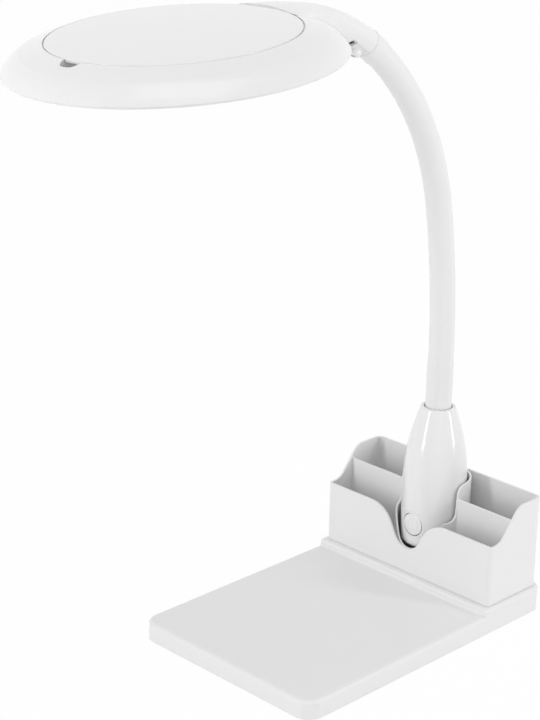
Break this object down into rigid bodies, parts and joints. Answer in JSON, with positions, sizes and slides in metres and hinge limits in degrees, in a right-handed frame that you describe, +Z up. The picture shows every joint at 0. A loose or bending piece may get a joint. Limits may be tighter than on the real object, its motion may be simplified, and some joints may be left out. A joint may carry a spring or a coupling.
{
  "type": "magnifier desk lamp with organiser base",
  "caption": "Desk lamp with a round magnifying head and lens lid on a bendable arm, standing in an open organiser tray on a flat weighted base.",
  "frame": {"origin": "middle of the base's footprint, on the desk", "axes": "X to the right as seen from the front, Y to the rear (the tray's side), Z up"},
  "size_m": [0.228, 0.4299, 0.4981],
  "materials": {
    "shell_white": "satin moulded white plastic",
    "gloss_white": "glossy moulded white plastic",
    "tray_white": "satin moulded white plastic",
    "sleeve_white": "smooth matte white sleeve",
    "ferrule_white": "satin white plastic",
    "pad_dark": "matte dark foam rubber",
    "steel": "plain steel",
    "ballast_iron": "raw cast iron",
    "inlet_black": "black moulded plastic",
    "board_green": "green circuit board",
    "board_white": "white circuit board",
    "led_yellow": "yellow phosphor",
    "lead_black": "matte black cable jacket",
    "diffuser": "frosted white plastic",
    "lens_clear": "polished clear lens"
  },
  "bodies": {
    "stand": {"base_top_shell": "shell_white", "base_bottom_cover": "shell_white", "anti_slip_pad": "pad_dark", "base_screws": "steel", "ballast_plate": "ballast_iron", "dc_inlet": "inlet_black", "dc_inlet_pin": "steel", "organiser_tray": "tray_white", "tray_screws": "steel", "stem_housing": "gloss_white", "stem_foot": "shell_white", "stem_anchor_tube": "steel", "stem_washer": "steel", "stem_nut": "steel", "stem_coupler": "steel", "collar_bush": "shell_white", "button_bezel": "gloss_white", "button_spring": "steel", "switch_board": "board_green", "push_switch": "inlet_black", "led_driver": "inlet_black", "supply_lead": "lead_black", "lower_ferrule": "ferrule_white", "core_link_1": "steel", "sleeve_1": "sleeve_white", "arm_lead": "lead_black"},
    "arm_lower": {"core_link_2": "steel", "sleeve_2": "sleeve_white"},
    "arm_middle": {"core_link_3": "steel", "sleeve_3": "sleeve_white"},
    "arm_upper": {"core_link_4": "steel", "sleeve_4": "sleeve_white"},
    "head": {"core_link_5": "steel", "sleeve_5": "sleeve_white", "head_lead": "lead_black", "upper_ferrule": "ferrule_white", "head_top_shell": "gloss_white", "head_rim_ring": "shell_white", "rim_screws": "steel", "diffuser_ring": "diffuser", "lens_keeper": "shell_white", "keeper_screws": "steel", "led_board": "board_white", "led_board_screws": "steel", "leds": "led_yellow", "lens": "lens_clear", "hinge_pin": "steel", "neck_lower_cover": "gloss_white", "neck_screw": "steel"},
    "button": {"power_button": "gloss_white"},
    "lid": {"lens_lid": "gloss_white"}
  },
  "joints": [
    {"name": "arm_sideways", "type": "hinge", "parent": "stand", "child": "arm_lower", "pos_m": [0, 0.10038, 0.23476], "axis": [0, 0.9986, 0.0529], "range_deg": [-25, 25], "deforming": ["sleeve_1", "sleeve_2", "arm_lead"]},
    {"name": "arm_forward", "type": "hinge", "parent": "arm_lower", "child": "arm_middle", "pos_m": [0, 0.09303, 0.30389], "axis": [1, 0, 0], "range_deg": [-20, 20], "deforming": ["sleeve_2", "sleeve_3", "arm_lead"]},
    {"name": "arm_dip", "type": "hinge", "parent": "arm_middle", "child": "arm_upper", "pos_m": [0, 0.07493, 0.37082], "axis": [1, 0, 0], "range_deg": [-30, 30], "deforming": ["sleeve_3", "sleeve_4", "arm_lead"]},
    {"name": "head_sideways", "type": "hinge", "parent": "arm_upper", "child": "head", "pos_m": [0, 0.03699, 0.42874], "axis": [0, 0.7363, 0.6766], "range_deg": [-30, 30], "deforming": ["sleeve_4", "sleeve_5", "arm_lead"]},
    {"name": "button_press", "type": "slide", "parent": "stand", "child": "button", "axis": [0, 1, 0], "range_m": [0, 0.0015], "stiffness_N_per_m": 250, "deforming": ["button_spring"]},
    {"name": "lid_hinge", "type": "hinge", "parent": "head", "child": "lid", "pos_m": [-0.00038, -0.10564, 0.4945], "axis": [-0.9997, 0.002, -0.0226], "range_deg": [0, 100]}
  ]
}
